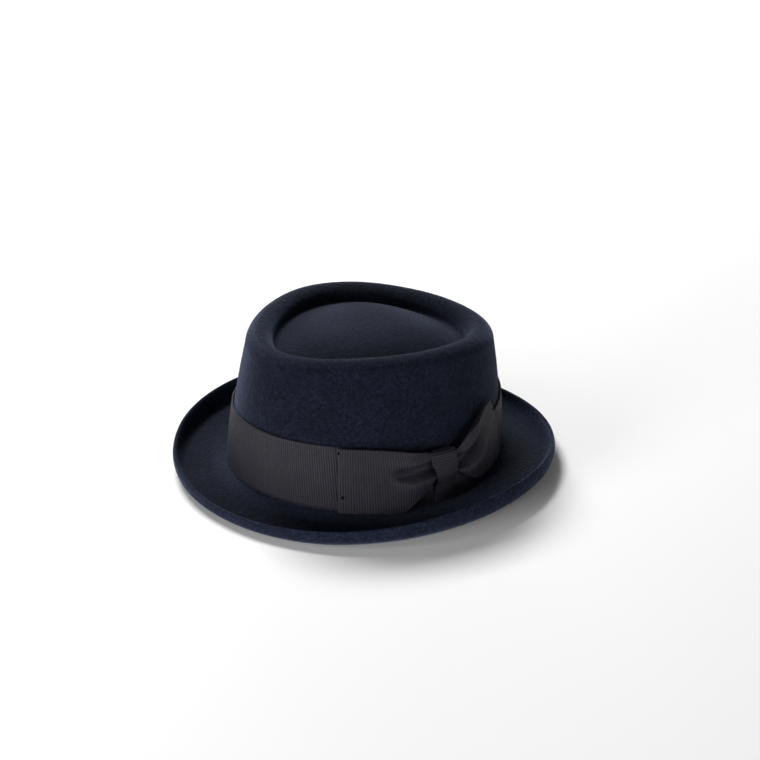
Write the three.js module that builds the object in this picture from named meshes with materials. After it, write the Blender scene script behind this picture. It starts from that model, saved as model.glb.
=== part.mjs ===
// Pork pie hat: a felt body with crown and brim in one piece, a ribbon band round the crown,
// and a flat ribbon bow with its knot on the wearer's left.
// Millimetres, +Z up. The front of the hat faces -Y and the bow is on the +X side.
// Angles go round the hat from the front, by the +X side, to the back.
// The hat stands on the underside of its brim at z = 0.
import * as THREE from 'three';

// Felt body
const FELT_THICKNESS = 2.4;
const BREAK_HEIGHT = 7.0;
const CROWN_HEIGHT = 98.4;
const CREST_RADIUS = 9.8;
const CREASE_DEPTH = 12.0;
const CREASE_INSET = 2.0;
const DOME_RISE = 15.0;
const DOME_ROUNDNESS = 2.3;
const WALL_BULGE = 1.9;
const LIP_RADIUS = 7.4;
const LIP_TURN = THREE.MathUtils.degToRad(114);

// The line where crown and brim meet, and the crest of the ring round the top, seen from above.
// The taper draws in the width towards the front.
const BREAK_OVAL = { halfLength: 100, halfWidth: 90.8, centreY: 0, taper: 0 };
const CREST_OVAL = { halfLength: 83.3, halfWidth: 69.3, centreY: -2.2, taper: 0.22 };

// Heights and the brim's fall change round the hat: level is the mean, front is added at the
// front and taken off at the back, and ends is added at front and back and taken off at the sides.
const BREAK_RISE = { level: 0, front: 1.4, ends: 2.6 };
const CREST_RISE = { level: 0, front: 7.1, ends: -1.4 };
const BRIM_SLOPE_DEG = { level: -6.0, front: -3.0, ends: -11.8 };
const BRIM_WIDTH = { level: 28.9, front: 0, ends: -3.5 };

// Ribbon band
const RIBBON_WIDTH = 46.7;
const RIBBON_THICKNESS = 1.2;
const RIBBON_GAP = 0.3;
const BAND_CLEARANCE = 0.5;

// The band's top edge over its foot, at runs along the band from the knot's middle. The front
// is at minus runs. The knot's stitches draw the edge down behind the bow.
const KNOT_ANGLE = THREE.MathUtils.degToRad(79);
const BAND_EDGE = [
  { run: -75, top: 46.7 },
  { run: -48, top: 44.6 },
  { run: -33, top: 42.6 },
  { run: -18, top: 39.8 },
  { run: -6, top: 36.8 },
  { run: 8, top: 36.2 },
  { run: 18, top: 37.6 },
  { run: 28, top: 41.0 },
  { run: 40, top: 44.0 },
  { run: 66, top: 44.6 },
  { run: 120, top: 46.7 },
];

// Bow loops: what each loop's face is at runs from the knot's middle. Foot and top are the
// heights of its edges over the band's foot, and standOff is measured from the crown's wall.
// Lip and valley are the heights of its two gathered folds, and pleat is their depth, 0 to 1.
const FRONT_FACE = [
  { run: 0, foot: 23.5, top: 37.6, standOff: 4.5, lip: 24.4, valley: 29.0, pleat: 1 },
  { run: 8, foot: 23.2, top: 38.0, standOff: 4.5, lip: 24.4, valley: 29.0, pleat: 1 },
  { run: 12, foot: 19.4, top: 41.2, standOff: 6.2, lip: 24.0, valley: 29.0, pleat: 1 },
  { run: 18, foot: 13.6, top: 42.4, standOff: 7.2, lip: 22.9, valley: 28.4, pleat: 1 },
  { run: 25, foot: 6.2, top: 43.5, standOff: 7.0, lip: 21.4, valley: 27.2, pleat: 0.9 },
  { run: 31, foot: 0.9, top: 44.4, standOff: 6.2, lip: 21.4, valley: 26.6, pleat: 0.62 },
  { run: 38, foot: 0.1, top: 45.2, standOff: 5.2, lip: 23.5, valley: 27.2, pleat: 0.1 },
  { run: 50, foot: 0, top: 46.1, standOff: 4.5, lip: 25.0, valley: 28.0, pleat: 0 },
  { run: 73.6, foot: 0, top: 46.7, standOff: 4.2, lip: 25.0, valley: 28.0, pleat: 0 },
];
const BACK_FACE = [
  { run: 0, foot: 23.5, top: 37.6, standOff: 4.5, lip: 24.4, valley: 29.0, pleat: 1 },
  { run: 8, foot: 22.6, top: 37.8, standOff: 4.5, lip: 22.6, valley: 27.6, pleat: 1 },
  { run: 12, foot: 19.5, top: 38.8, standOff: 5.6, lip: 22.5, valley: 28.0, pleat: 1 },
  { run: 17, foot: 15.4, top: 42.4, standOff: 7.4, lip: 23.0, valley: 29.4, pleat: 1 },
  { run: 22, foot: 12.4, top: 46.0, standOff: 8.2, lip: 25.0, valley: 32.4, pleat: 1 },
  { run: 28, foot: 10.8, top: 49.0, standOff: 8.0, lip: 27.6, valley: 36.0, pleat: 0.9 },
  { run: 34, foot: 10.6, top: 51.4, standOff: 7.2, lip: 31.5, valley: 40.0, pleat: 0.6 },
  { run: 41, foot: 11.4, top: 54.2, standOff: 6.4, lip: 37.5, valley: 44.0, pleat: 0.12 },
  { run: 48, foot: 12.6, top: 57.5, standOff: 5.8, lip: 41.0, valley: 47.0, pleat: 0 },
  { run: 56, foot: 13.4, top: 59.9, standOff: 5.4, lip: 44.0, valley: 50.0, pleat: 0 },
];

// Slant is how much further the loop's foot reaches than its top, and behind the gather the
// under layer lies on the band.
const LOOPS = [
  { side: -1, slant: 3.5, gatheredTo: 30, face: FRONT_FACE },
  { side: 1, slant: 10, gatheredTo: 36, face: BACK_FACE },
];
const LIP = { height: 2.8, below: 9.0, above: 2.8 };
const VALLEY = { height: -5.4, below: 3.0, above: 3.8 };
const LOBE = { height: 1.8, below: 4.6, above: 4.6, rise: 8.0 };
const UNDER_STAND = 2.4;
const UNDER_TUCK = 1.3;
const UNDER_START = 12;
const FOLD_GAP = 1.6;
const LOWEST_FOLD = 4.2;

// Bow knot: the ribbon's face at runs along it, from the band's foot, out over the gathered
// loops and in again over their top edge. Left and right are its edges beside its middle.
const KNOT_FACE = [
  { run: 0, height: 1.6, standOff: 2.6, left: -7.4, right: 9.0 },
  { run: 6.5, height: 8.0, standOff: 3.0, left: -7.3, right: 8.6 },
  { run: 12.7, height: 14.0, standOff: 4.4, left: -7.4, right: 7.8 },
  { run: 18.6, height: 19.0, standOff: 7.6, left: -7.7, right: 7.2 },
  { run: 23.1, height: 23.0, standOff: 9.6, left: -8.1, right: 7.4 },
  { run: 28.1, height: 28.0, standOff: 10.2, left: -9.4, right: 8.0 },
  { run: 34.1, height: 34.0, standOff: 9.8, left: -11.0, right: 8.4 },
  { run: 39.1, height: 39.0, standOff: 9.3, left: -10.6, right: 8.5 },
  { run: 41.1, height: 40.3, standOff: 7.9, left: -10.2, right: 8.5 },
  { run: 43.6, height: 40.1, standOff: 5.6, left: -5.0, right: 5.6 },
  { run: 46.0, height: 39.6, standOff: 3.4, left: -4.6, right: 4.6 },
];

// Mesh steps
const ROUND_STEPS = 64;
const DOME_STEPS = 5;
const RING_STEPS = 5;
const WALL_STEPS = 4;
const BRIM_STEPS = 3;
const LIP_STEPS = 7;
const BAND_STEPS = 3;
const RIBBON_STEPS = 14;
const LOOP_STEPS = 13;
const FOLD_STEPS = 2;
const UNDER_STEPS = 5;
const KNOT_STEPS = 4;
const KNOT_ROWS = 15;
const STRIDES = 12;

// A sheet's offset grows at a crease until its normal leans this far from the faces beside it.
const CREASE_LEAN = 0.75;

const NAVY_FELT = new THREE.MeshStandardMaterial({ color: 0x20253a, roughness: 0.95, metalness: 0 });
const CHARCOAL_RIBBON = new THREE.MeshStandardMaterial({ color: 0x2f2f36, roughness: 0.7, metalness: 0 });

function roundTheHat(rise, angle) {
  return rise.level + rise.front * Math.cos(angle) + rise.ends * Math.cos(2 * angle);
}

// A point of a plan oval, with its level outward direction and its length for each radian.
function planOval(oval, angle) {
  const across = Math.sin(angle);
  const ahead = Math.cos(angle);
  const narrowing = 1 - oval.taper * ahead;
  const alongX = oval.halfWidth * (ahead * narrowing + oval.taper * across * across);
  const alongY = oval.halfLength * across;
  const stride = Math.hypot(alongX, alongY);
  return {
    place: new THREE.Vector3(
      oval.halfWidth * across * narrowing,
      oval.centreY - oval.halfLength * ahead,
      0,
    ),
    out: new THREE.Vector3(alongY / stride, -alongX / stride, 0),
    stride,
  };
}

function breakLine(angle) {
  const oval = planOval(BREAK_OVAL, angle);
  oval.place.z = BREAK_HEIGHT + roundTheHat(BREAK_RISE, angle);
  return oval;
}

// The middle of the round section that runs along the crest.
function crestCore(angle) {
  const oval = planOval(CREST_OVAL, angle);
  oval.place.z = BREAK_HEIGHT + CROWN_HEIGHT + roundTheHat(CREST_RISE, angle) - CREST_RADIUS;
  return oval;
}

function crestPoint(angle, turn) {
  const core = crestCore(angle);
  core.place.addScaledVector(core.out, CREST_RADIUS * Math.cos(turn));
  core.place.z += CREST_RADIUS * Math.sin(turn);
  return core.place;
}

// A point of the crown's side wall: share 0 is the brim line and share 1 the foot of the crest.
function wallPoint(angle, share, standOff = 0) {
  const foot = breakLine(angle);
  const bulge = 4 * share * (1 - share) * WALL_BULGE;
  return foot.place.lerp(crestPoint(angle, 0), share).addScaledVector(foot.out, bulge + standOff);
}

// The crown's top inside the crest: share 0 is the middle of the dome and share 1 the crease.
function domePoint(angle, share) {
  const core = crestCore(angle);
  const crease = core.place.clone().addScaledVector(core.out, -(CREST_RADIUS + CREASE_INSET));
  crease.z = core.place.z + CREST_RADIUS - CREASE_DEPTH;
  const middleZ = BREAK_HEIGHT + CROWN_HEIGHT - CREASE_DEPTH + DOME_RISE;
  const middle = new THREE.Vector3(0, CREST_OVAL.centreY, middleZ);
  const point = middle.clone().lerp(crease, share);
  point.z = middleZ + (crease.z - middleZ) * share ** DOME_ROUNDNESS;
  return point;
}

// The brim's upper face: width share along its straight fall, then the turn of its rolled lip.
function brimPoint(angle, widthShare, lipTurn) {
  const foot = breakLine(angle);
  const slope = THREE.MathUtils.degToRad(roundTheHat(BRIM_SLOPE_DEG, angle));
  const width = roundTheHat(BRIM_WIDTH, angle) * widthShare;
  const reach = width * Math.cos(slope) + LIP_RADIUS * (Math.sin(slope + lipTurn) - Math.sin(slope));
  foot.place.addScaledVector(foot.out, reach);
  foot.place.z += width * Math.sin(slope) + LIP_RADIUS * (Math.cos(slope) - Math.cos(slope + lipTurn));
  return foot.place;
}

// Builds one closed mesh from rows of points. Each row is a closed ring of as many points.
// The ends are joined to each other, drawn to a point each, or filled across a flat section.
function loft(name, rows, ends, material) {
  const ring = rows[0].length;
  const points = rows.flat();
  const triangles = [];
  const rowCount = ends === 'joined' ? rows.length : rows.length - 1;
  for (let row = 0; row < rowCount; row += 1) {
    const here = row * ring;
    const next = ((row + 1) % rows.length) * ring;
    for (let i = 0; i < ring; i += 1) {
      const j = (i + 1) % ring;
      triangles.push(here + i, next + i, next + j, here + i, next + j, here + j);
    }
  }
  const last = (rows.length - 1) * ring;
  if (ends.first) {
    const firstPole = points.push(ends.first) - 1;
    const lastPole = points.push(ends.last) - 1;
    for (let i = 0; i < ring; i += 1) {
      const j = (i + 1) % ring;
      triangles.push(firstPole, i, j, lastPole, last + j, last + i);
    }
  }
  if (ends === 'filled') {
    for (let i = 0; i < ring / 2 - 1; i += 1) {
      const k = ring - 1 - i;
      triangles.push(i, i + 1, k, i + 1, k - 1, k);
      triangles.push(last + i, last + k, last + i + 1, last + i + 1, last + k, last + k - 1);
    }
  }
  const geometry = new THREE.BufferGeometry().setFromPoints(points);
  geometry.setIndex(triangles);
  geometry.computeVertexNormals();
  const mesh = new THREE.Mesh(geometry, material);
  mesh.name = name;
  return mesh;
}

// Unit vectors square to a grid of points, lengthened at creases so that a sheet offset along
// them keeps its thickness. Rows go down or out, columns go round or up.
function sheetNormals(grid, columnsWrap) {
  const columnCount = grid[0].length;
  return grid.map((row, i) => row.map((_, j) => {
    const left = columnsWrap ? (j + columnCount - 1) % columnCount : Math.max(j - 1, 0);
    const right = columnsWrap ? (j + 1) % columnCount : Math.min(j + 1, columnCount - 1);
    const round = row[right].clone().sub(row[left]);
    const before = grid[Math.max(i - 1, 0)][j].clone().sub(grid[Math.max(i, 1)][j]).negate();
    const after = grid[Math.min(i + 1, grid.length - 1)][j].clone();
    after.sub(grid[Math.min(i, grid.length - 2)][j]);
    const faceBefore = before.cross(round).normalize();
    const faceAfter = after.cross(round).normalize();
    const normal = faceBefore.clone().add(faceAfter).normalize();
    return normal.divideScalar(Math.max(normal.dot(faceBefore), CREASE_LEAN));
  }));
}

function offsetGrid(grid, normals, distance) {
  return grid.map((row, i) => row.map((point, j) => (
    point.clone().addScaledVector(normals[i][j], distance)
  )));
}

function steps(count, make) {
  return Array.from({ length: count }, (_, i) => make(i));
}

function roundRow(pointAt) {
  return steps(ROUND_STEPS, (i) => pointAt((2 * Math.PI * i) / ROUND_STEPS));
}

function feltBody() {
  const upper = [
    ...steps(DOME_STEPS, (i) => roundRow((a) => domePoint(a, (i + 1) / DOME_STEPS))),
    ...steps(RING_STEPS, (i) => roundRow((a) => crestPoint(a, Math.PI * (1 - i / RING_STEPS)))),
    ...steps(WALL_STEPS + 1, (i) => roundRow((a) => wallPoint(a, 1 - i / WALL_STEPS))),
    ...steps(BRIM_STEPS, (i) => roundRow((a) => brimPoint(a, (i + 1) / BRIM_STEPS, 0))),
    ...steps(LIP_STEPS, (i) => roundRow((a) => brimPoint(a, 1, (LIP_TURN * (i + 1)) / LIP_STEPS))),
  ];
  const under = offsetGrid(upper, sheetNormals(upper, true), -FELT_THICKNESS);
  // The brim is pressed flat where it rests.
  under.flat().forEach((point) => {
    point.z = Math.max(point.z, 0);
  });
  const top = domePoint(0, 0);
  const poles = { first: top, last: top.clone().setZ(top.z - FELT_THICKNESS) };
  return loft('felt_body', [...upper, ...under.reverse()], poles, NAVY_FELT);
}

// A point over the band, at a height above the band's foot and a distance off the crown's wall.
function bandPoint(angle, height, standOff) {
  const wallHeight = crestPoint(angle, 0).z - breakLine(angle).place.z;
  return wallPoint(angle, (BAND_CLEARANCE + height) / wallHeight, standOff);
}

// The angle round the crown at a run along the band from the knot's middle.
function angleFromKnot(run) {
  let angle = KNOT_ANGLE;
  for (let i = 0; i < STRIDES; i += 1) {
    angle += run / STRIDES / planOval(BREAK_OVAL, angle).stride;
  }
  return angle;
}

// The run along the band from the knot's middle to an angle, the short way round.
function runFromKnot(angle) {
  const turn = THREE.MathUtils.euclideanModulo(angle - KNOT_ANGLE + Math.PI, 2 * Math.PI) - Math.PI;
  let run = 0;
  for (let i = 0; i < STRIDES; i += 1) {
    run += planOval(BREAK_OVAL, KNOT_ANGLE + (turn * i) / STRIDES).stride * (turn / STRIDES);
  }
  return run;
}

// A smooth line through one column of a table, at a run.
function throughStations(stations, column, run) {
  const last = stations.length - 1;
  const slope = (i) => {
    const before = stations[Math.max(i - 1, 0)];
    const after = stations[Math.min(i + 1, last)];
    return (after[column] - before[column]) / (after.run - before.run);
  };
  const where = THREE.MathUtils.clamp(run, stations[0].run, stations[last].run);
  const next = Math.max(stations.findIndex((row) => row.run >= where), 1);
  const start = stations[next - 1];
  const end = stations[next];
  const span = end.run - start.run;
  const part = (where - start.run) / span;
  const lean = slope(next - 1) * part * (1 - part) ** 2 - slope(next) * part ** 2 * (1 - part);
  const blend = part ** 2 * (3 - 2 * part);
  return start[column] + (end[column] - start[column]) * blend + span * lean;
}

function hatBand() {
  const edgeRow = (share, standOff) => roundRow((angle) => {
    const top = throughStations(BAND_EDGE, 'top', runFromKnot(angle));
    return bandPoint(angle, top * share, standOff);
  });
  const shares = steps(BAND_STEPS + 1, (i) => i / BAND_STEPS);
  const outside = RIBBON_GAP + RIBBON_THICKNESS;
  const rows = [
    ...shares.toReversed().map((share) => edgeRow(share, outside)),
    ...shares.map((share) => edgeRow(share, RIBBON_GAP)),
  ];
  return loft('hat_band', rows, 'joined', CHARCOAL_RIBBON);
}

function roundedFold(fold, overRidge) {
  const spread = overRidge > 0 ? fold.above : fold.below;
  return fold.height * Math.exp(-((overRidge / spread) ** 2));
}

// A point of a loop, on its face or on the under layer some way behind the face. Across goes
// from -1 at the ribbon's lower edge to 1 at its upper edge.
function loopPoint(loop, { along, behindFace }, across) {
  const face = (column) => throughStations(loop.face, column, along);
  const foot = face('foot');
  const top = face('top') - UNDER_TUCK * behindFace;
  const height = foot + ((top - foot) * (across + 1)) / 2;
  let standOff = face('standOff') - behindFace;
  if (behindFace === 0) {
    const overValley = height - face('valley');
    const folds = roundedFold(LIP, height - face('lip')) + roundedFold(VALLEY, overValley)
      + roundedFold(LOBE, overValley - LOBE.rise);
    standOff = Math.max(standOff + face('pleat') * folds, LOWEST_FOLD);
  }
  const slanted = along * (1 - (loop.slant * across) / 2 / loop.face.at(-1).run);
  return bandPoint(angleFromKnot(loop.side * slanted), height, standOff);
}

// The ribbon's way over one loop: out on its face, round the folded end and back below.
function loopPath(loop) {
  const { run: length, standOff: endStand } = loop.face.at(-1);
  const flatLength = length - FOLD_GAP / 2;
  const face = steps(LOOP_STEPS, (i) => ({
    along: (flatLength * (i + 1)) / LOOP_STEPS,
    behindFace: 0,
  }));
  const fold = steps(FOLD_STEPS, (i) => {
    const turn = (Math.PI * (i + 1)) / FOLD_STEPS;
    return {
      along: flatLength + (FOLD_GAP / 2) * Math.sin(turn),
      behindFace: (FOLD_GAP / 2) * (1 - Math.cos(turn)),
    };
  });
  const under = steps(UNDER_STEPS, (i) => {
    const along = THREE.MathUtils.lerp(flatLength, UNDER_START, (i + 1) / UNDER_STEPS);
    const opened = THREE.MathUtils.smoothstep(along, loop.gatheredTo, flatLength);
    const underStand = THREE.MathUtils.lerp(UNDER_STAND, endStand - FOLD_GAP, opened);
    return { along, behindFace: throughStations(loop.face, 'standOff', along) - underStand };
  });
  return [...face, ...fold, ...under];
}

// One ribbon that lies over both loops, with its ends tucked under the knot.
function bowLoops() {
  const [front, back] = LOOPS;
  const rowAt = (loop, stop) => steps(RIBBON_STEPS + 1, (i) => (
    loopPoint(loop, stop, (2 * i) / RIBBON_STEPS - 1)
  ));
  const middles = [
    ...loopPath(front).reverse().map((stop) => rowAt(front, stop)),
    rowAt(back, { along: 0, behindFace: 0 }),
    ...loopPath(back).map((stop) => rowAt(back, stop)),
  ];
  return ribbonSheet('bow_loops', middles);
}

// The short ribbon that is wrapped over the gathered middle.
function bowKnot() {
  const length = KNOT_FACE.at(-1).run;
  const middles = steps(KNOT_ROWS + 1, (row) => {
    const face = (column) => throughStations(KNOT_FACE, column, (length * row) / KNOT_ROWS);
    return steps(KNOT_STEPS + 1, (i) => {
      const run = THREE.MathUtils.lerp(face('right'), face('left'), i / KNOT_STEPS);
      return bandPoint(angleFromKnot(run), face('height'), face('standOff'));
    });
  });
  return ribbonSheet('bow_knot', middles);
}

// A closed sheet of ribbon about a grid of its middle points, with rows along the ribbon.
function ribbonSheet(name, middles) {
  const normals = sheetNormals(middles, false);
  const front = offsetGrid(middles, normals, RIBBON_THICKNESS / 2);
  const rear = offsetGrid(middles, normals, -RIBBON_THICKNESS / 2);
  const rows = front.map((row, i) => [...row, ...rear[i].toReversed()]);
  return loft(name, rows, 'filled', CHARCOAL_RIBBON);
}

const hat = new THREE.Group();
hat.name = 'pork_pie_hat';
hat.add(feltBody(), hatBand(), bowLoops(), bowKnot());

export default hat;
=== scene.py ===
# Pork pie hat: a navy felt body, a ribbed ribbon band and a flat ribbon bow.
# Metres, +Z up. The front faces -Y and the bow is on the +X side.
# Angles go round the hat from the front, by the +X side, to the back.
import math

import bpy
import numpy as np
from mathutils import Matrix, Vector


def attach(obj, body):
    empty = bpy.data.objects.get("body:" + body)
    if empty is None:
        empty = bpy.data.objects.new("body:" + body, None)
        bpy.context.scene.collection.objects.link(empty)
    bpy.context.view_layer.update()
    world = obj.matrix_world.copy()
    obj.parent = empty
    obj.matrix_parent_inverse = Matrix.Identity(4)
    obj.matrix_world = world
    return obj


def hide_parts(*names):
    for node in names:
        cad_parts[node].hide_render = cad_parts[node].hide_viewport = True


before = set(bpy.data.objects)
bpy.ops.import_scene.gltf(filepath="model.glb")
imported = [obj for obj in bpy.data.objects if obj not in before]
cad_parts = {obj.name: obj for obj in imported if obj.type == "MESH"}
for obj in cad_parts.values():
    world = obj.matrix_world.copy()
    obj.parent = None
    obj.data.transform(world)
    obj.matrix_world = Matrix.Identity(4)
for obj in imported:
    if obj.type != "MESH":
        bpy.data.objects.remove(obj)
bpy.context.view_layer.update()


# Felt body: crown, brim and curled lip in one piece.
# Wool felt, steamed over a block, with the dished top pressed in by hand.
# The brim's raw edge is cut, left bare and turned up all round.
MM = 0.001
FELT_THICKNESS = 2.4 * MM
BREAK_HEIGHT = 7.0 * MM
CROWN_HEIGHT = 98.4 * MM
CREST_RADIUS = 9.8 * MM
CREASE_DEPTH = 12.0 * MM
CREASE_INSET = 2.0 * MM
DOME_RISE = 15.0 * MM
DOME_ROUNDNESS = 2.3
GUTTER_SHARE = 0.94
WALL_BULGE = 1.9 * MM
BREAK_BEND = 1.0 * MM
LIP_RADIUS = 7.4 * MM
LIP_TURN = math.radians(114)
EDGE_SQUARENESS = 0.7
# How far the painted sheen on the brim's lip reaches from the cut edge.
LIP_SHEEN_BREADTH = 1.3
BREAK_OVAL = {"half_length": 100 * MM, "half_width": 90.8 * MM, "centre_y": 0, "taper": 0}
CREST_OVAL = {"half_length": 83.3 * MM, "half_width": 69.3 * MM, "centre_y": -2.2 * MM, "taper": 0.22}

# What changes round the hat: level is the mean, front is added at the front and taken off at
# the back, and ends is added at the front and back and taken off at the sides. Heights and
# widths are in metres and slopes in radians.
BREAK_RISE = {"level": 0, "front": 1.4 * MM, "ends": 2.6 * MM}
CREST_RISE = {"level": 0, "front": 7.1 * MM, "ends": -1.4 * MM}
BRIM_SLOPE = {"level": math.radians(-6.0), "front": math.radians(-3.0), "ends": math.radians(-11.8)}
BRIM_WIDTH = {"level": 28.9 * MM, "front": 0, "ends": -3.5 * MM}

# The unevenness left by hand shaping, as waves along x, y and z, in radians a metre.
DENTS = {"height": 0.32 * MM, "waves": (41, 37, 29), "starts": (1.3, 0.4, 0.8)}
RIPPLES = {"height": 0.12 * MM, "waves": (88, 79), "starts": (-0.6, 1.9)}

FELT_COLUMNS = 320
DOME_ROWS = 22
GUTTER_ROWS = 7
CREST_ROWS = 20
WALL_ROWS = 24
BREAK_ROWS = 4
BRIM_ROWS = 14
LIP_ROWS = 20
EDGE_ROWS = 6
UP = np.array([0.0, 0.0, 1.0])


def times(vector, amount):
    return vector * np.asarray(amount)[..., None]


def round_the_hat(rise, angle):
    return rise["level"] + rise["front"] * np.cos(angle) + rise["ends"] * np.cos(2 * angle)


def plan_oval(oval, angle):
    """A point of an oval seen from above, its level outward direction, and its length a radian."""
    across = np.sin(angle)
    ahead = np.cos(angle)
    narrowing = 1 - oval["taper"] * ahead
    run_x = oval["half_width"] * (ahead * narrowing + oval["taper"] * across**2)
    run_y = oval["half_length"] * across
    stride = np.hypot(run_x, run_y)
    level = np.zeros_like(angle)
    place_x = oval["half_width"] * across * narrowing
    place_y = oval["centre_y"] - oval["half_length"] * ahead
    place = np.stack([place_x, place_y, level], axis=-1)
    out = np.stack([run_y / stride, -run_x / stride, level], axis=-1)
    return place, out, stride


def break_line(angle):
    """The line where the crown meets the brim."""
    place, out, _ = plan_oval(BREAK_OVAL, angle)
    return place + times(UP, BREAK_HEIGHT + round_the_hat(BREAK_RISE, angle)), out


def crest_core(angle):
    """The middle of the round section that runs along the crest."""
    place, out, _ = plan_oval(CREST_OVAL, angle)
    height = BREAK_HEIGHT + CROWN_HEIGHT + round_the_hat(CREST_RISE, angle) - CREST_RADIUS
    return place + times(UP, height), out


def crest_point(angle, turn):
    core, out = crest_core(angle)
    return core + times(out, CREST_RADIUS * np.cos(turn)) + times(UP, CREST_RADIUS * np.sin(turn))


def wall_point(angle, share, stand_off=0.0):
    """The crown's side wall: share 0 is the brim line and share 1 the foot of the crest."""
    foot, out = break_line(angle)
    top = crest_point(angle, 0.0 * angle)
    bulge = 4 * share * (1 - share) * WALL_BULGE
    return foot + times(top - foot, share) + times(out, bulge + stand_off)


def crease_point(angle):
    core, out = crest_core(angle)
    return core - times(out, CREST_RADIUS + CREASE_INSET) + UP * (CREST_RADIUS - CREASE_DEPTH)


def dome_point(angle, share):
    """The top inside the crest: share 0 is the middle of the dome and share 1 the crease."""
    crease = crease_point(angle)
    middle_z = BREAK_HEIGHT + CROWN_HEIGHT - CREASE_DEPTH + DOME_RISE
    middle = np.array([0, CREST_OVAL["centre_y"], middle_z])
    point = middle + times(crease - middle, share)
    point[..., 2] = middle_z + (crease[..., 2] - middle_z) * share**DOME_ROUNDNESS
    return point


def brim_point(angle, width_share, lip_turn):
    """The brim's upper face: along its straight fall, then round the turn of its lip."""
    foot, out = break_line(angle)
    slope = round_the_hat(BRIM_SLOPE, angle)
    width = round_the_hat(BRIM_WIDTH, angle) * width_share
    reach = width * np.cos(slope) + LIP_RADIUS * (np.sin(slope + lip_turn) - np.sin(slope))
    climb = width * np.sin(slope) + LIP_RADIUS * (np.cos(slope) - np.cos(slope + lip_turn))
    return foot + times(out, reach) + times(UP, climb)


def soft_corner(before, corner, after, rows):
    """Rows of points that turn a corner in a curve, without its first and last point."""
    share = np.linspace(0, 1, rows + 2)[1:-1, None, None]
    return (1 - share) ** 2 * before + 2 * share * (1 - share) * corner + share**2 * after


def down_and_round(down, angles):
    return np.meshgrid(down, angles, indexing="ij")


def sheet_normals(grid, wraps):
    """Unit vectors square to a grid of points whose rows go down or out."""
    down = np.gradient(grid, axis=0)
    if wraps:
        along = np.roll(grid, -1, axis=1) - np.roll(grid, 1, axis=1)
    else:
        along = np.gradient(grid, axis=1)
    normal = np.cross(down, along)
    return normal / np.linalg.norm(normal, axis=-1, keepdims=True)


def wave_phases(shape, places):
    """How far each of a shape's waves has got at the given places."""
    return [wave * place + start for wave, start, place in zip(shape["waves"], shape["starts"], places)]


def hand_blocked(points):
    """The slight unevenness of felt that was shaped by hand."""
    places = np.moveaxis(points, -1, 0)
    broad_x, broad_y, broad_z = wave_phases(DENTS, places)
    narrow_x, narrow_y = wave_phases(RIPPLES, places)
    broad = np.sin(broad_x) * np.sin(broad_y) * np.cos(broad_z)
    narrow = np.sin(narrow_x) * np.cos(narrow_y)
    return DENTS["height"] * broad + RIPPLES["height"] * narrow


def lofted_piece(name, grid, ends, attributes=()):
    """A closed mesh from rings of points: ends are joined, filled, or drawn to two points."""
    rings, ring = grid.shape[:2]
    points = grid.reshape(-1, 3)
    row = np.arange(rings if ends == "joined" else rings - 1)[:, None] * ring
    here = np.arange(ring)[None, :]
    after = (here + 1) % ring
    below = (row + ring) % (rings * ring)
    faces = np.stack([row + here, below + here, below + after, row + after], axis=-1).reshape(-1, 4)
    faces = faces.tolist()
    last = (rings - 1) * ring
    if isinstance(ends, tuple):
        points = np.concatenate([points, ends])
        first_pole = rings * ring
        for i in range(ring):
            j = (i + 1) % ring
            faces.append([first_pole, i, j])
            faces.append([first_pole + 1, last + j, last + i])
    if ends == "filled":
        for i in range(ring // 2 - 1):
            k = ring - 1 - i
            faces.append([i, i + 1, k - 1, k])
            faces.append([last + i, last + k, last + k - 1, last + i + 1])
    mesh = bpy.data.meshes.new(name)
    mesh.from_pydata(points.tolist(), [], faces)
    mesh.shade_smooth()
    for label, values in attributes:
        layer = mesh.attributes.new(label, "FLOAT_VECTOR", "POINT")
        layer.data.foreach_set("vector", values.reshape(-1).astype(np.float32))
    piece = bpy.data.objects.new(name, mesh)
    bpy.context.collection.objects.link(piece)
    return piece


def felt_sheet():
    """The felt's upper face, in rows from the dome's middle out to the cut edge."""
    angles = np.linspace(0, 2 * math.pi, FELT_COLUMNS, endpoint=False)
    dome_share, dome_angle = down_and_round(np.linspace(0, GUTTER_SHARE, DOME_ROWS + 1)[1:], angles)
    dome = dome_point(dome_angle, dome_share)
    crest_turn, crest_angle = down_and_round(np.linspace(math.pi, 0, CREST_ROWS + 1), angles)
    crest = crest_point(crest_angle, crest_turn)
    gutter = soft_corner(dome[-1], crease_point(angles), crest[0], GUTTER_ROWS)
    foot, _ = break_line(angles)
    wall_height = np.linalg.norm(crest[-1] - foot, axis=-1)
    bend_share = BREAK_BEND / wall_height
    wall_down = np.linspace(1, 0, WALL_ROWS + 1)[1:, None]
    wall = wall_point(np.tile(angles, (WALL_ROWS, 1)), bend_share + (1 - bend_share) * wall_down)
    brim_out = np.linspace(0, 1, BRIM_ROWS + 1)[:, None]
    bend_width = BREAK_BEND / round_the_hat(BRIM_WIDTH, angles)
    brim_share = bend_width + (1 - bend_width) * brim_out
    brim = brim_point(np.tile(angles, (BRIM_ROWS + 1, 1)), brim_share, 0.0)
    bend = soft_corner(wall[-1], foot, brim[0], BREAK_ROWS)
    lip_turn, lip_angle = down_and_round(np.linspace(0, LIP_TURN, LIP_ROWS + 1)[1:], angles)
    lip = brim_point(lip_angle, 1.0, lip_turn)
    return np.concatenate([dome, gutter, crest, wall, bend, brim, lip])


def lip_sheen(rows, edge_row):
    """How much painted sheen lightens each point, in x: full at the cut edge, none past the lip."""
    from_edge = np.abs(np.arange(rows) - edge_row)
    painted_sheen = np.clip(LIP_SHEEN_BREADTH - from_edge / LIP_ROWS, 0, 1)
    return np.repeat(painted_sheen, FELT_COLUMNS)[:, None] * np.array([1, 0, 0])


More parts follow.
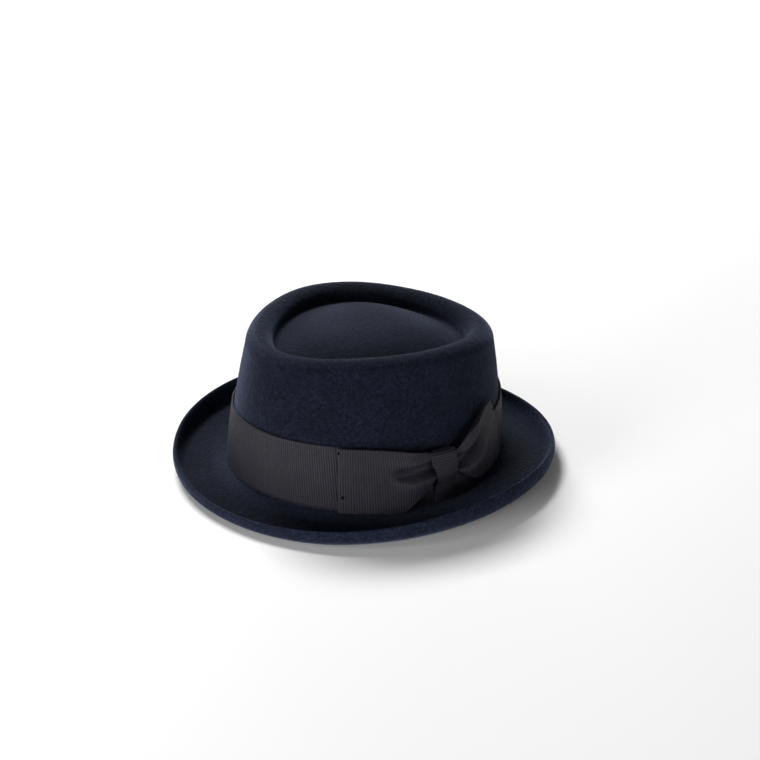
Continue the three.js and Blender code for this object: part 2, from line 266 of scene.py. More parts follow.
def felt_body():
    upper = felt_sheet()
    normals = sheet_normals(upper, wraps=True)
    upper = upper + times(normals, hand_blocked(upper))
    under = upper - FELT_THICKNESS * normals
    # The brim is pressed flat where it rests.
    under[..., 2] = np.maximum(under[..., 2], 0)
    middle = (upper[-1] + under[-1]) / 2
    across = (upper[-1] - under[-1]) / 2
    outward = upper[-1] - upper[-2]
    outward = outward / np.linalg.norm(outward, axis=-1, keepdims=True) * FELT_THICKNESS / 2
    edge = []
    for turn in np.linspace(0, math.pi, EDGE_ROWS + 2)[1:-1]:
        side = np.sign(math.cos(turn)) * abs(math.cos(turn)) ** EDGE_SQUARENESS
        edge.append(middle + side * across + math.sin(turn) ** EDGE_SQUARENESS * outward)
    top = dome_point(np.array([0.0]), np.array([0.0]))
    poles = (top[0], top[0] - FELT_THICKNESS * UP)
    grid = np.concatenate([upper, np.array(edge), under[::-1]])
    # The lip's painted sheen is kept on the points, with none at the two poles.
    sheen_shares = np.concatenate([lip_sheen(len(grid), len(upper) + (EDGE_ROWS - 1) / 2), np.zeros((2, 3))])
    return lofted_piece("navy_felt_body", grid, poles, [("lip_sheen", sheen_shares)])


def node_group(name, inputs, outputs):
    """An empty shader group with its named sockets, and its input and output nodes."""
    group = bpy.data.node_groups.new(name, "ShaderNodeTree")
    for label, kind, value in inputs:
        socket = group.interface.new_socket(name=label, in_out="INPUT", socket_type=kind)
        if value is not None:
            socket.default_value = value
    for label, kind in outputs:
        group.interface.new_socket(name=label, in_out="OUTPUT", socket_type=kind)
    return group, group.nodes.new("NodeGroupInput"), group.nodes.new("NodeGroupOutput")


def add_node(tree, kind, links=(), **settings):
    """Adds a shader node, sets its properties and feeds its numbered or named inputs."""
    node = tree.nodes.new("ShaderNode" + kind)
    for key, value in settings.items():
        setattr(node, key, value)
    for key, source in dict(links).items():
        if isinstance(source, bpy.types.NodeSocket):
            tree.links.new(source, node.inputs[key])
        else:
            node.inputs[key].default_value = source
    return node


def maths(tree, operation, first, second=0.0, third=0.0):
    node = add_node(tree, "Math", {0: first, 1: second, 2: third}, operation=operation)
    return node.outputs[0]


def shaded_range(tree, value, low, high, to_low, to_high):
    """A value's smooth passage from one range to another."""
    links = {"Value": value, "From Min": low, "From Max": high, "To Min": to_low, "To Max": to_high}
    return add_node(tree, "MapRange", links, interpolation_type="SMOOTHSTEP").outputs["Result"]


def mixed_colour(tree, share, first, second, blend="MIX"):
    node = add_node(tree, "Mix", {0: share, 6: first, 7: second}, data_type="RGBA", blend_type=blend)
    return node.outputs[2]


def cloudiness_group():
    """Soft uneven tone that no cloth is free of: a broad and a fine cloud, from 0 to 1."""
    sockets = [("Broad Scale", "NodeSocketFloat", 40.0), ("Fine Scale", "NodeSocketFloat", 500.0)]
    outputs = [("Broad", "NodeSocketFloat"), ("Fine", "NodeSocketFloat")]
    group, given, result = node_group("cloudiness", sockets, outputs)
    place = add_node(group, "TexCoord").outputs["Object"]
    for label in ("Broad", "Fine"):
        links = {"Vector": place, "Scale": given.outputs[label + " Scale"], "Detail": 3.0}
        noise = add_node(group, "TexNoise", links)
        spread = shaded_range(group, noise.outputs["Fac"], low=0.3, high=0.7, to_low=0.0, to_high=1.0)
        group.links.new(spread, result.inputs[label])
    return group


FIBRE_LENGTH = 1.1 * MM
FIBRE_WIDTH = 0.5 * MM
FIBRE_CURL = 3 * MM
FIBRE_LIES = [(0.4, 0.2, 0.9), (1.3, 0.8, 0.1), (0.7, 1.4, 2.2)]
LINT_SPACING = 8 * MM
LINT_SIZE = 0.45 * MM


def felt_fibres_group():
    """Short matted fibres that lie every way, as strokes on three crossed grids."""
    sockets = [("Length", "NodeSocketFloat", FIBRE_LENGTH), ("Width", "NodeSocketFloat", FIBRE_WIDTH)]
    outputs = [("Fibre", "NodeSocketFloat"), ("Height", "NodeSocketFloat")]
    group, given, result = node_group("felt_fibres", sockets, outputs)
    place = add_node(group, "TexCoord").outputs["Object"]
    swirl = add_node(group, "TexNoise", {"Vector": place, "Scale": 170.0, "Detail": 2.0})
    curl = {0: swirl.outputs["Color"], "Scale": FIBRE_CURL}
    shift = add_node(group, "VectorMath", curl, operation="SCALE")
    curled = add_node(group, "VectorMath", {0: place, 1: shift.outputs[0]}, operation="ADD").outputs[0]
    tone = None
    height = None
    for lie in FIBRE_LIES:
        turn = {"Vector": curled, "Rotation": lie}
        turned = add_node(group, "VectorRotate", turn, rotation_type="EULER_XYZ")
        cells = add_node(group, "CombineXYZ")
        along = maths(group, "DIVIDE", 1.0, given.outputs["Length"])
        across = maths(group, "DIVIDE", 1.0, given.outputs["Width"])
        for axis, fineness in (("X", along), ("Y", across), ("Z", across)):
            group.links.new(fineness, cells.inputs[axis])
        stretch = {0: turned.outputs[0], 1: cells.outputs[0]}
        stretched = add_node(group, "VectorMath", stretch, operation="MULTIPLY")
        stroke = add_node(group, "TexVoronoi", {"Vector": stretched.outputs[0], "Scale": 1.0})
        shade = add_node(group, "SeparateColor", {0: stroke.outputs["Color"]}).outputs[0]
        mound = maths(group, "SUBTRACT", 1.0, stroke.outputs["Distance"])
        tone = shade if tone is None else maths(group, "ADD", tone, shade)
        height = mound if height is None else maths(group, "MAXIMUM", height, mound)
    group.links.new(maths(group, "DIVIDE", tone, float(len(FIBRE_LIES))), result.inputs["Fibre"])
    group.links.new(height, result.inputs["Height"])
    return group


def lint_group():
    """A few pale specks of lint caught on a cloth: 1 on a speck and 0 elsewhere."""
    sockets = [("Spacing", "NodeSocketFloat", LINT_SPACING), ("Size", "NodeSocketFloat", LINT_SIZE)]
    group, given, result = node_group("lint", sockets, [("Speck", "NodeSocketFloat")])
    place = add_node(group, "TexCoord").outputs["Object"]
    fineness = maths(group, "DIVIDE", 1.0, given.outputs["Spacing"])
    cell = add_node(group, "TexVoronoi", {"Vector": place, "Scale": fineness})
    reach = maths(group, "MULTIPLY", given.outputs["Size"], fineness)
    near = shaded_range(group, cell.outputs["Distance"], low=0.0, high=reach, to_low=1.0, to_high=0.0)
    chance = add_node(group, "SeparateColor", {0: cell.outputs["Color"]}).outputs[1]
    group.links.new(maths(group, "MULTIPLY", near, chance), result.inputs["Speck"])
    return group


def new_material(name):
    material = bpy.data.materials.new(name)
    material.use_nodes = True
    material.node_tree.nodes.clear()
    return material, material.node_tree


def finish_material(tree, shader):
    output = add_node(tree, "OutputMaterial")
    tree.links.new(shader.outputs["BSDF"], output.inputs["Surface"])


def place_group(tree, group, **values):
    node = add_node(tree, "Group", node_tree=group)
    for label, value in values.items():
        node.inputs[label.replace("_", " ")].default_value = value
    return node


CLOUDINESS = cloudiness_group()
FELT_FIBRES = felt_fibres_group()
LINT = lint_group()
FELT_DARK = (0.0019, 0.0027, 0.0062, 1)
FELT_MID = (0.0053, 0.0075, 0.0168, 1)
FELT_PALE = (0.0215, 0.0268, 0.049, 1)
LINT_COLOUR = (0.11, 0.12, 0.15, 1)
# How much lighter the painted sheen makes the lip's colour at the cut edge.
LIP_SHEEN_TONE = 1.6


def navy_felt():
    material, tree = new_material("navy_felt")
    clouds = place_group(tree, CLOUDINESS, Broad_Scale=60.0, Fine_Scale=380.0)
    fibres = place_group(tree, FELT_FIBRES, Length=FIBRE_LENGTH, Width=FIBRE_WIDTH)
    lint = place_group(tree, LINT, Spacing=LINT_SPACING, Size=LINT_SIZE)
    fibre = fibres.outputs["Fibre"]
    ground = mixed_colour(tree, clouds.outputs["Fine"], FELT_DARK, FELT_MID)
    pit = shaded_range(tree, fibre, low=0.2, high=0.42, to_low=1.0, to_high=0.0)
    pits = mixed_colour(tree, pit, ground, FELT_DARK)
    strand = shaded_range(tree, fibre, low=0.6, high=0.88, to_low=0.0, to_high=0.55)
    strands = mixed_colour(tree, strand, pits, FELT_PALE)
    worn = shaded_range(tree, clouds.outputs["Broad"], low=0.0, high=1.0, to_low=0.88, to_high=1.12)
    toned = mixed_colour(tree, 1.0, strands, worn, "MULTIPLY")
    # Painted sheen: the lip's outer face is lightened in the colour, most at the cut edge.
    sheen_vector = add_node(tree, "Attribute", attribute_name="lip_sheen").outputs["Vector"]
    sheen_share = add_node(tree, "SeparateXYZ", {0: sheen_vector}).outputs["X"]
    lighter = shaded_range(tree, sheen_share, low=0.0, high=1.0, to_low=1.0, to_high=LIP_SHEEN_TONE)
    painted_sheen = mixed_colour(tree, 1.0, toned, lighter, "MULTIPLY")
    colour = mixed_colour(tree, lint.outputs["Speck"], painted_sheen, LINT_COLOUR)
    rough = shaded_range(tree, fibre, low=0.2, high=0.8, to_low=0.82, to_high=0.96)
    nap = maths(tree, "MULTIPLY_ADD", clouds.outputs["Fine"], 0.9, fibres.outputs["Height"])
    bump = add_node(tree, "Bump", {"Strength": 0.8, "Distance": 0.24 * MM, "Height": nap})
    shader = add_node(tree, "BsdfPrincipled", {
        "Base Color": colour,
        "Roughness": rough,
        "Normal": bump.outputs["Normal"],
        "Specular IOR Level": 0.08,
        "Sheen Weight": 0.175,
        "Sheen Roughness": 0.36,
        "Sheen Tint": (0.52, 0.64, 1.0, 1),
    })
    finish_material(tree, shader)
    return material


body = felt_body()
body.data.materials.append(navy_felt())
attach(body, "root")
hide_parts("felt_body")


# Hat band: a grosgrain ribbon drawn tight round the foot of the crown.
# Charcoal rayon over cotton cord: thick ribs run across it and its two edges are woven close.
# Its ends meet under the bow, and it is held by a few hidden stitches.
RIBBON_WIDTH = 46.7 * MM
RIBBON_THICKNESS = 1.0 * MM
RIBBON_GAP = 0.5 * MM
BAND_CLEARANCE = 0.5 * MM
RIB_PITCH = 1.75 * MM
RIB_DEPTH = 0.3 * MM
SELVEDGE = 0.9 * MM
SELVEDGE_BEAD = 0.12 * MM
RIB_ROUNDNESS = 0.8
EDGE_THINNESS = 0.15
THREAD_WIDTH = 0.28 * MM
BAND_RIBS = 344
COLUMNS_A_RIB = 6
BAND_ROWS = 14
KNOT_ANGLE = math.radians(79)
RUN_SAMPLES = 1441

# The band's top edge over its foot, in mm, at runs along it from the knot's middle. The front
# is at minus runs. The knot's stitches draw the edge down behind the bow.
BAND_EDGE = [
    {"run": -75, "top": 46.7},
    {"run": -48, "top": 44.6},
    {"run": -33, "top": 42.6},
    {"run": -18, "top": 39.8},
    {"run": -6, "top": 36.8},
    {"run": 8, "top": 36.2},
    {"run": 18, "top": 37.6},
    {"run": 28, "top": 41.0},
    {"run": 40, "top": 44.0},
    {"run": 66, "top": 44.6},
    {"run": 120, "top": 46.7},
]


def band_point(angle, height, stand_off):
    """A point over the band, at a height above its foot and a distance off the crown's wall."""
    foot, _ = break_line(angle)
    wall_height = crest_point(angle, 0.0 * angle)[..., 2] - foot[..., 2]
    return wall_point(angle, (BAND_CLEARANCE + height) / wall_height, stand_off)


def through_stations(stations, column, run):
    """A smooth line through one column of a short table, at runs given in metres."""
    places = np.array([row["run"] for row in stations])
    values = np.array([row[column] for row in stations])
    slopes = np.gradient(values, places)
    where = np.clip(run / MM, places[0], places[-1])
    start = np.clip(np.searchsorted(places, where, side="right") - 1, 0, len(places) - 2)
    span = places[start + 1] - places[start]
    part = (where - places[start]) / span
    blend = part * part * (3 - 2 * part)
    lean = slopes[start] * part * (1 - part) ** 2 - slopes[start + 1] * part * part * (1 - part)
    return values[start] + (values[start + 1] - values[start]) * blend + span * lean


def runs_from_knot():
    """Angles to half a turn either side of the knot, and their runs along the band's foot."""
    angles = KNOT_ANGLE + np.linspace(-math.pi, math.pi, RUN_SAMPLES)
    _, _, stride = plan_oval(BREAK_OVAL, angles)
    run = np.cumsum(stride) * (angles[1] - angles[0])
    return angles, run - np.interp(KNOT_ANGLE, angles, run)


def across_ribbon(count):
    """Shares from one edge of the ribbon to the other, closer together at its woven edges."""
    return -np.cos(np.linspace(0, math.pi, count))


def rib_relief(ribs_along, across):
    """How far a rib stands out of the ribbon, with the woven edge left smooth."""
    rib = np.abs(np.cos(math.pi * ribs_along)) ** RIB_ROUNDNESS
    from_edge = (1 - np.abs(across)) * RIBBON_WIDTH / 2
    inside = np.clip(from_edge / SELVEDGE, 0, 1)
    return RIB_DEPTH * (rib - 0.5) * inside + SELVEDGE_BEAD * (1 - inside) * inside * 4


def ribbon_solid(name, middles, ribs_along, across, wraps):
    """A closed ribbon about a grid of its middle points. Rows go along the ribbon."""
    if wraps:
        columns = sheet_normals(np.swapaxes(middles, 0, 1), wraps=True)
        normals = -np.swapaxes(columns, 0, 1)
    else:
        normals = sheet_normals(middles, wraps=False)
    relief = rib_relief(ribs_along, across)
    thin = np.sqrt(np.clip((1 - np.abs(across)) * RIBBON_WIDTH / RIBBON_THICKNESS, 0, 1))
    half = RIBBON_THICKNESS / 2 * np.maximum(thin, EDGE_THINNESS) + relief * thin
    front = middles + times(normals, half)
    rear = middles - times(normals, half)
    grid = np.concatenate([front, rear[:, ::-1]], axis=1)
    run = np.stack([ribs_along * RIB_PITCH, across * RIBBON_WIDTH / 2, 0 * across], axis=-1)
    runs = np.concatenate([run, run[:, ::-1]], axis=1)
    return lofted_piece(name, grid, "joined" if wraps else "filled", [("ribbon_run", runs)])


def hat_band():
    count = BAND_RIBS * COLUMNS_A_RIB
    share = np.linspace(0, 1, count, endpoint=False)
    angle, across = down_and_round(KNOT_ANGLE - 2 * math.pi * share, across_ribbon(BAND_ROWS))
    ribs = share[:, None] * BAND_RIBS + 0 * across
    angles, runs = runs_from_knot()
    turned = (angle - KNOT_ANGLE + math.pi) % (2 * math.pi) - math.pi
    edge = through_stations(BAND_EDGE, "top", np.interp(KNOT_ANGLE + turned, angles, runs)) * MM
    height = edge * (across + 1) / 2
    middles = band_point(angle, height, RIBBON_GAP + RIBBON_THICKNESS / 2)
    return ribbon_solid("ribbon_band", middles, ribs, across, wraps=True)


def grosgrain_group():
    """Ribs and fine threads of a corded ribbon, from how far along and across it a point is."""
    sockets = [
        ("Run", "NodeSocketVector", None),
        ("Pitch", "NodeSocketFloat", RIB_PITCH),
        ("Thread", "NodeSocketFloat", THREAD_WIDTH),
    ]
    outputs = [(label, "NodeSocketFloat") for label in ("Valley", "Height", "Shade")]
    group, given, result = node_group("grosgrain", sockets, outputs)
    run = add_node(group, "SeparateXYZ", {0: given.outputs["Run"]})
    ribs = maths(group, "DIVIDE", run.outputs["X"], given.outputs["Pitch"])
    swing = maths(group, "ABSOLUTE", maths(group, "COSINE", maths(group, "MULTIPLY", ribs, math.pi)))
    # Valley is 1 between the ribs, where the ribbon's colour takes a painted shade.
    valley = shaded_range(group, swing, low=0.1, high=0.8, to_low=1.0, to_high=0.0)
    group.links.new(valley, result.inputs["Valley"])
    odd = maths(group, "FLOOR", maths(group, "ADD", ribs, 0.5))
    shift = maths(group, "MULTIPLY", odd, 0.5)
    threads = maths(group, "DIVIDE", run.outputs["Y"], given.outputs["Thread"])
    phase = maths(group, "MULTIPLY", maths(group, "ADD", threads, shift), 2 * math.pi)
    group.links.new(maths(group, "COSINE", phase), result.inputs["Height"])
    strand = add_node(group, "CombineXYZ", {"X": odd, "Y": maths(group, "FLOOR", threads)})
    tone = add_node(group, "TexWhiteNoise", {"Vector": strand.outputs[0]}, noise_dimensions="2D")
    group.links.new(tone.outputs["Value"], result.inputs["Shade"])
    return group


GROSGRAIN = grosgrain_group()
# RIBBON_DARK is the painted shade between the ribs, and also a tone of the sewing thread.
RIBBON_DARK = (0.0004, 0.0004, 0.0007, 1)
RIBBON_MID = (0.0115, 0.0105, 0.0172, 1)
RIBBON_PALE = (0.0165, 0.0152, 0.0240, 1)


def charcoal_ribbon():
    material, tree = new_material("charcoal_ribbon")
    run = add_node(tree, "Attribute", attribute_name="ribbon_run").outputs["Vector"]
    weave = place_group(tree, GROSGRAIN, Pitch=RIB_PITCH, Thread=THREAD_WIDTH)
    tree.links.new(run, weave.inputs["Run"])
    clouds = place_group(tree, CLOUDINESS, Broad_Scale=45.0, Fine_Scale=900.0)
    lint = place_group(tree, LINT, Spacing=14 * MM, Size=0.3 * MM)
    thread = mixed_colour(tree, weave.outputs["Shade"], RIBBON_MID, RIBBON_PALE)
    # Painted shade: the valleys between the ribs are darkened in the colour.
    valley_shaded = mixed_colour(tree, weave.outputs["Valley"], thread, RIBBON_DARK)
    worn = shaded_range(tree, clouds.outputs["Broad"], low=0.0, high=1.0, to_low=0.92, to_high=1.08)
    toned = mixed_colour(tree, 1.0, valley_shaded, worn, "MULTIPLY")
    colour = mixed_colour(tree, lint.outputs["Speck"], toned, LINT_COLOUR)
    rough = shaded_range(tree, clouds.outputs["Fine"], low=0.0, high=1.0, to_low=0.46, to_high=0.6)
    relief = {"Strength": 0.3, "Distance": 0.05 * MM, "Height": weave.outputs["Height"]}
    bump = add_node(tree, "Bump", relief)
    shader = add_node(tree, "BsdfPrincipled", {
        "Base Color": colour,
        "Roughness": rough,
        "Normal": bump.outputs["Normal"],
        "Specular IOR Level": 0.2,
        "Sheen Weight": 0.055,
        "Sheen Roughness": 0.3,
        "Sheen Tint": (0.8, 0.76, 1.0, 1),
    })
    finish_material(tree, shader)
    return material


RIBBON_MATERIAL = charcoal_ribbon()
band = hat_band()
band.data.materials.append(RIBBON_MATERIAL)
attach(band, "root")
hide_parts("hat_band")


# Bow loops: one ribbon folded flat over itself into a front and a back loop.
# The same grosgrain as the band. The knot gathers its middle, and a deep pleat runs out
# from the knot along each loop. The back loop stands off the crown and rises above the band.
UNDER_STAND = 2.1 * MM
FOLD_GAP = 1.6 * MM
LOWEST_FOLD = 3.2 * MM
LOOP_COLUMNS = 44
TOP_STEP = RIB_PITCH / COLUMNS_A_RIB
UNDER_STEPS = 30
UNDER_ENDS_AT = 9 * MM
FOLD_STEPS = 8
UNDER_TUCK = 1.3

# Each loop's face, in mm, at runs from the knot's middle: its foot and top edge over the band's
# foot, how far it stands off the crown, the heights of its lip and of the valley over the lip,
# and pleat, the share of their full depth that these folds have there, from 0 to 1.
FRONT_FACE = [
    {"run": 0, "foot": 23.5, "top": 37.6, "stand_off": 4.4, "lip": 24.4, "valley": 29.0, "pleat": 1},
    {"run": 8, "foot": 23.2, "top": 38.0, "stand_off": 4.5, "lip": 24.4, "valley": 29.0, "pleat": 1},
    {"run": 12, "foot": 19.4, "top": 41.2, "stand_off": 6.2, "lip": 24.0, "valley": 29.0, "pleat": 1},
    {"run": 18, "foot": 13.6, "top": 42.4, "stand_off": 7.2, "lip": 22.9, "valley": 28.4, "pleat": 1},
    {"run": 25, "foot": 6.2, "top": 43.5, "stand_off": 7.0, "lip": 21.4, "valley": 27.2, "pleat": 0.9},
    {"run": 31, "foot": 0.9, "top": 44.4, "stand_off": 6.0, "lip": 21.4, "valley": 26.6, "pleat": 0.62},
    {"run": 38, "foot": 0.1, "top": 45.2, "stand_off": 5.0, "lip": 23.5, "valley": 27.2, "pleat": 0.1},
    {"run": 50, "foot": 0, "top": 46.1, "stand_off": 4.1, "lip": 25.0, "valley": 28.0, "pleat": 0},
    {"run": 73.6, "foot": 0, "top": 46.7, "stand_off": 3.7, "lip": 25.0, "valley": 28.0, "pleat": 0},
]
BACK_FACE = [
    {"run": 0, "foot": 23.5, "top": 37.6, "stand_off": 4.4, "lip": 24.4, "valley": 29.0, "pleat": 1},
    {"run": 8, "foot": 22.6, "top": 37.8, "stand_off": 4.4, "lip": 22.6, "valley": 27.6, "pleat": 1},
    {"run": 12, "foot": 19.5, "top": 38.8, "stand_off": 5.6, "lip": 22.5, "valley": 28.0, "pleat": 1},
    {"run": 17, "foot": 15.4, "top": 42.4, "stand_off": 7.4, "lip": 23.0, "valley": 29.4, "pleat": 1},
    {"run": 22, "foot": 12.4, "top": 46.0, "stand_off": 8.2, "lip": 25.0, "valley": 32.4, "pleat": 1},
    {"run": 28, "foot": 10.8, "top": 49.0, "stand_off": 8.0, "lip": 27.6, "valley": 36.0, "pleat": 0.9},
    {"run": 34, "foot": 10.6, "top": 51.4, "stand_off": 7.2, "lip": 31.5, "valley": 40.0, "pleat": 0.6},
    {"run": 41, "foot": 11.4, "top": 54.2, "stand_off": 6.4, "lip": 37.5, "valley": 44.0, "pleat": 0.12},
    {"run": 48, "foot": 12.6, "top": 57.5, "stand_off": 5.8, "lip": 41.0, "valley": 47.0, "pleat": 0},
    {"run": 56, "foot": 13.4, "top": 59.9, "stand_off": 5.4, "lip": 44.0, "valley": 50.0, "pleat": 0},
]
LOOPS = {
    "front": {"side": -1, "slant": 3.5 * MM, "under_from": 30 * MM, "face": FRONT_FACE},
    "back": {"side": 1, "slant": 10 * MM, "under_from": 36 * MM, "face": BACK_FACE},
}
LIP = {"height": 3.4 * MM, "below": 9.0 * MM, "above": 2.8 * MM}
VALLEY = {"height": -5.4 * MM, "below": 3.0 * MM, "above": 3.8 * MM}
LOBE = {"height": 2.6 * MM, "below": 4.6 * MM, "above": 4.6 * MM, "rise": 8.0 * MM}


def smooth_share(value, low, high):
    share = np.clip((value - low) / (high - low), 0, 1)
    return share * share * (3 - 2 * share)


def rounded_fold(fold, over_ridge):
    spread = np.where(over_ridge > 0, fold["above"], fold["below"])
    return fold["height"] * np.exp(-((over_ridge / spread) ** 2))


def loop_point(loop, along, across, behind_face):
    """A point of a loop, on its face or on the under layer some way behind the face."""
    face = {name: through_stations(loop["face"], name, along) for name in loop["face"][0]}
    foot = face["foot"] * MM
    top = face["top"] * MM - UNDER_TUCK * behind_face
    height = foot + (top - foot) * (across + 1) / 2
    stand_off = face["stand_off"] * MM - behind_face
    if behind_face == 0:
        from_valley = height - face["valley"] * MM
        folds = rounded_fold(LIP, height - face["lip"] * MM) + rounded_fold(VALLEY, from_valley)
        folds += rounded_fold(LOBE, from_valley - LOBE["rise"])
        stand_off = np.maximum(stand_off + face["pleat"] * folds, LOWEST_FOLD)
    slanted = along - along / (loop["face"][-1]["run"] * MM) * loop["slant"] * across / 2
    angles, runs = runs_from_knot()
    return band_point(np.interp(loop["side"] * slanted, runs, angles), height, stand_off)


def loop_path(loop):
    """How far along and behind its face the ribbon is, going out, round the fold and back below."""
    length = loop["face"][-1]["run"] * MM
    end_stand = loop["face"][-1]["stand_off"] * MM
    flat_length = length - FOLD_GAP / 2
    path = [(x, 0.0) for x in np.arange(1, int(flat_length / TOP_STEP)) * TOP_STEP]
    for turn in np.linspace(0, math.pi, FOLD_STEPS)[1:]:
        beyond = FOLD_GAP / 2 * math.sin(turn)
        path.append((flat_length + beyond, FOLD_GAP / 2 * (1 - math.cos(turn))))
    for x in np.linspace(flat_length, UNDER_ENDS_AT, UNDER_STEPS)[1:]:
        pulled_in = 1 - smooth_share(x, loop["under_from"], flat_length)
        under = end_stand - FOLD_GAP + (UNDER_STAND - end_stand + FOLD_GAP) * pulled_in
        face_stand = through_stations(loop["face"], "stand_off", np.array(x)) * MM
        path.append((x, float(face_stand - under)))
    return path


def bow_loops():
    across = across_ribbon(LOOP_COLUMNS)
    rows = []
    for x, behind_face in reversed(loop_path(LOOPS["front"])):
        rows.append(loop_point(LOOPS["front"], x + 0 * across, across, behind_face))
    for x, behind_face in loop_path(LOOPS["back"]):
        rows.append(loop_point(LOOPS["back"], x + 0 * across, across, behind_face))
    middles = np.array(rows)
    steps = np.linalg.norm(np.diff(middles[:, LOOP_COLUMNS // 2], axis=0), axis=-1)
    ribs = np.concatenate([[0], np.cumsum(steps)])[:, None] / RIB_PITCH
    shares = np.tile(across, (len(rows), 1))
    return ribbon_solid("ribbon_bow", middles, ribs + 0 * shares, shares, wraps=False)


bow = bow_loops()
bow.data.materials.append(RIBBON_MATERIAL)
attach(bow, "root")
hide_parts("bow_loops")


# Tack stitches: two small knots of thread that hold the front loop's folded end.
# Black sewing thread, sewn through and knotted flat on the ribbon's face.
STITCH_RUN = 71.8
STITCHES = [
    {"name": "low_stitch", "height": 12.0, "long": 1.1, "wide": 0.8},
    {"name": "high_stitch", "height": 43.6, "long": 1.0, "wide": 0.7},
]
STITCH_STAND = 4.8 * MM
STITCH_FLATNESS = 0.6
STITCH_RINGS = 7
STITCH_SIDES = 12
THREAD_COLOUR = (0.0008, 0.0008, 0.001, 1)


def thread_stitch(name, height, long, wide):
    """A flattened bead of thread on the loop's face, longest up the hat."""
    angles, runs = runs_from_knot()
    angle = np.interp(-STITCH_RUN * MM, runs, angles)
    middle = band_point(np.array([angle]), height * MM, STITCH_STAND)[0]
    _, out, _ = plan_oval(BREAK_OVAL, np.array([angle]))
    side = np.cross(UP, out[0])
    turns = np.linspace(0, 2 * math.pi, STITCH_SIDES, endpoint=False)
    girth = times(side, np.cos(turns)) + times(out[0], np.sin(turns) * STITCH_FLATNESS)
    rings = []
    for lean in np.linspace(0, math.pi, STITCH_RINGS + 2)[1:-1]:
        ring = math.sin(lean) * girth * wide
        rings.append(middle + (ring + UP * math.cos(lean) * long) * MM)
    poles = (middle + UP * long * MM, middle - UP * long * MM)
    return lofted_piece(name, np.array(rings), poles)


def sewing_thread():
    material, tree = new_material("sewing_thread")
    clouds = place_group(tree, CLOUDINESS, Broad_Scale=900.0, Fine_Scale=4000.0)
    colour = mixed_colour(tree, clouds.outputs["Fine"], THREAD_COLOUR, RIBBON_DARK)
    links = {"Base Color": colour, "Roughness": 0.9, "Specular IOR Level": 0.03}
    shader = add_node(tree, "BsdfPrincipled", links)
    finish_material(tree, shader)
    return material


THREAD_MATERIAL = sewing_thread()
for stitch_row in STITCHES:
    stitch = thread_stitch(**stitch_row)
    stitch.data.materials.append(THREAD_MATERIAL)
    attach(stitch, "root")


# Bow knot: a short ribbon folded to less than half its width and wrapped over the gather.
# The same grosgrain. It comes out at the band's foot, bulges over the bow's middle
# and turns in over the band's top edge, where it is stitched.
KNOT_FACE = [
    {"run": 0, "height": 1.6, "stand_off": 2.6, "left": -7.4, "right": 9.0},
    {"run": 6.5, "height": 8.0, "stand_off": 3.0, "left": -7.3, "right": 8.6},
    {"run": 12.7, "height": 14.0, "stand_off": 4.4, "left": -7.4, "right": 7.8},
    {"run": 18.6, "height": 19.0, "stand_off": 7.6, "left": -7.7, "right": 7.2},
    {"run": 23.1, "height": 23.0, "stand_off": 9.6, "left": -8.1, "right": 7.4},
    {"run": 28.1, "height": 28.0, "stand_off": 10.2, "left": -9.4, "right": 8.0},
    {"run": 34.1, "height": 34.0, "stand_off": 9.8, "left": -11.0, "right": 8.4},
    {"run": 39.1, "height": 39.0, "stand_off": 9.3, "left": -10.6, "right": 8.5},
    {"run": 41.1, "height": 40.3, "stand_off": 7.9, "left": -10.2, "right": 8.5},
    {"run": 43.6, "height": 40.1, "stand_off": 5.6, "left": -7.0, "right": 6.6},
    {"run": 46.0, "height": 39.6, "stand_off": 3.4, "left": -6.4, "right": 5.6},
]
KNOT_COLUMNS = 26
KNOT_ROWS = 170
KNOT_CROWN = 0.9 * MM


def bow_knot():
    across = across_ribbon(KNOT_COLUMNS)
    run = np.linspace(0, KNOT_FACE[-1]["run"] * MM, KNOT_ROWS)[:, None]
    face = {name: through_stations(KNOT_FACE, name, run) * MM for name in KNOT_FACE[0]}
    along = face["left"] + (face["right"] - face["left"]) * (1 - across) / 2
    stand_off = face["stand_off"] - KNOT_CROWN * across**2
    angles, runs = runs_from_knot()
    middles = band_point(np.interp(along, runs, angles), face["height"] + 0 * along, stand_off)
    ribs = run / RIB_PITCH + 0 * along
    return ribbon_solid("ribbon_knot", middles, ribs, across + 0 * along, wraps=False)


knot = bow_knot()
knot.data.materials.append(RIBBON_MATERIAL)
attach(knot, "root")
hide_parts("bow_knot")


# Floor: a plain pale studio floor that runs on past every view.
# Matt white paint, laid flat under the hat.
FLOOR_HALF = 12.0
FLOOR_COLOUR = (0.88, 0.88, 0.88, 1)


def studio_floor():
    sides = [(-1, -1), (1, -1), (1, 1), (-1, 1)]
    corners = [(x * FLOOR_HALF, y * FLOOR_HALF, 0) for x, y in sides]
    mesh = bpy.data.meshes.new("studio_floor")
    mesh.from_pydata(corners, [], [(0, 1, 2, 3)])
    floor = bpy.data.objects.new("studio_floor", mesh)
    bpy.context.collection.objects.link(floor)
    material, tree = new_material("matt_white")
    paint = {"Base Color": FLOOR_COLOUR, "Roughness": 0.9, "Specular IOR Level": 0.1}
    shader = add_node(tree, "BsdfPrincipled", paint)
    finish_material(tree, shader)
    mesh.materials.append(material)
    return floor


studio_floor()


# Camera: above and to the front left of the wearer, as the photograph was taken.
CAMERA_AZIMUTH = math.radians(42.27)
CAMERA_ELEVATION = math.radians(25.67)
CAMERA_DISTANCE = 1.80035
CAMERA_LENS = 122.1
SENSOR_WIDTH = 36
LOOK_AT = np.array([0, 0, 0.052])
AIM_RIGHT = 0.0109
AIM_UP = 0.0082


def from_the_hat(azimuth, elevation):
    """The direction from the hat of something at an azimuth and an elevation."""
    level = math.cos(elevation)
    return np.array([math.sin(azimuth) * level, -math.cos(azimuth) * level, math.sin(elevation)])


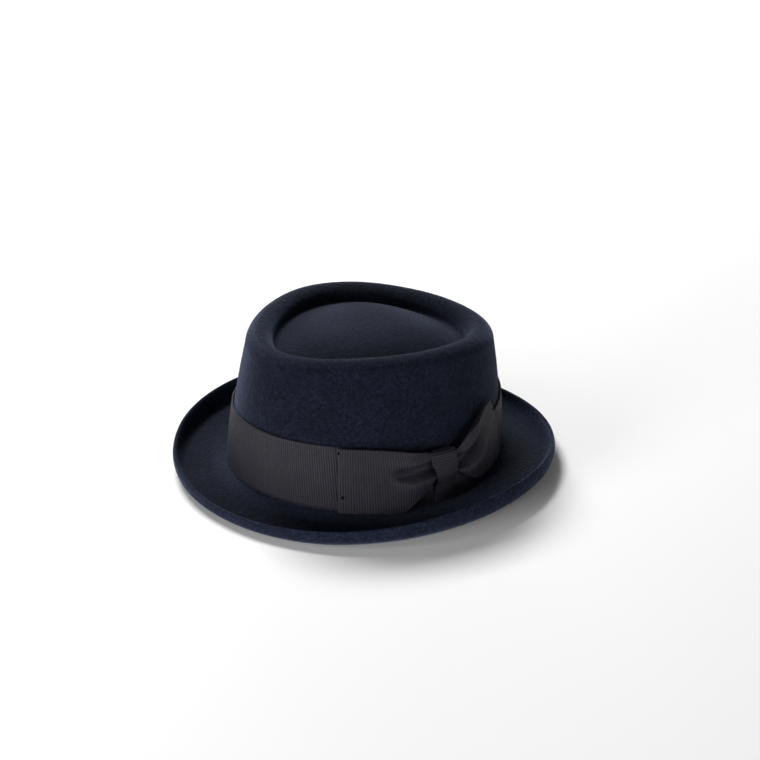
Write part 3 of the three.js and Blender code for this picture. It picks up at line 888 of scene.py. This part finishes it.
def facing(thing, place, target):
    """Puts a camera or lamp at a place and turns it to a target."""
    thing.location = place
    thing.rotation_mode = "QUATERNION"
    thing.rotation_quaternion = Vector(target - place).to_track_quat("-Z", "Y")
    bpy.context.collection.objects.link(thing)


def photo_camera():
    back = from_the_hat(CAMERA_AZIMUTH, CAMERA_ELEVATION)
    right = np.array([math.cos(CAMERA_AZIMUTH), math.sin(CAMERA_AZIMUTH), 0])
    up = np.cross(back, right)
    lens = bpy.data.cameras.new("photo_camera")
    lens.lens = CAMERA_LENS
    lens.sensor_width = SENSOR_WIDTH
    camera = bpy.data.objects.new("photo_camera", lens)
    facing(camera, LOOK_AT + CAMERA_DISTANCE * back, LOOK_AT + AIM_RIGHT * right + AIM_UP * up)
    return camera


bpy.context.scene.camera = photo_camera()


# Light: a wide soft box behind the hat, a low panel at its front and faint fills round it.
# Each is a frosted panel, so that every shadow has a soft edge. The room gives almost no light.
LAMPS = [
    {"name": "back_box", "azimuth": 250, "elevation": 51, "width": 1.0, "height": 0.45, "power": 58},
    {"name": "front_panel", "azimuth": 0, "elevation": 6, "width": 1.0, "height": 0.4, "power": 48},
    {"name": "right_panel", "azimuth": 92, "elevation": 6, "width": 1.0, "height": 0.4, "power": 16},
    {"name": "rim_panel", "azimuth": 222, "elevation": 12, "width": 1.0, "height": 0.8, "power": 9},
    {"name": "upper_front", "azimuth": 342, "elevation": 38, "width": 1.0, "height": 1.0, "power": 6},
    {"name": "camera_fill", "azimuth": 36, "elevation": 24, "width": 1.3, "height": 1.0, "power": 5.5},
]
LAMP_DISTANCE = 2.2
ROOM_STRENGTH = 0.01


def soft_box(name, azimuth, elevation, width, height, power):
    lamp = bpy.data.lights.new(name, "AREA")
    lamp.shape = "RECTANGLE"
    lamp.size = width
    lamp.size_y = height
    lamp.energy = power
    place = LOOK_AT + LAMP_DISTANCE * from_the_hat(math.radians(azimuth), math.radians(elevation))
    facing(bpy.data.objects.new(name, lamp), place, LOOK_AT)


for lamp_row in LAMPS:
    soft_box(**lamp_row)
room = bpy.data.worlds.new("white_room")
room.use_nodes = True
room.node_tree.nodes["Background"].inputs["Color"].default_value = (1, 1, 1, 1)
room.node_tree.nodes["Background"].inputs["Strength"].default_value = ROOM_STRENGTH
bpy.context.scene.world = room
bpy.context.scene.view_settings.view_transform = "Standard"
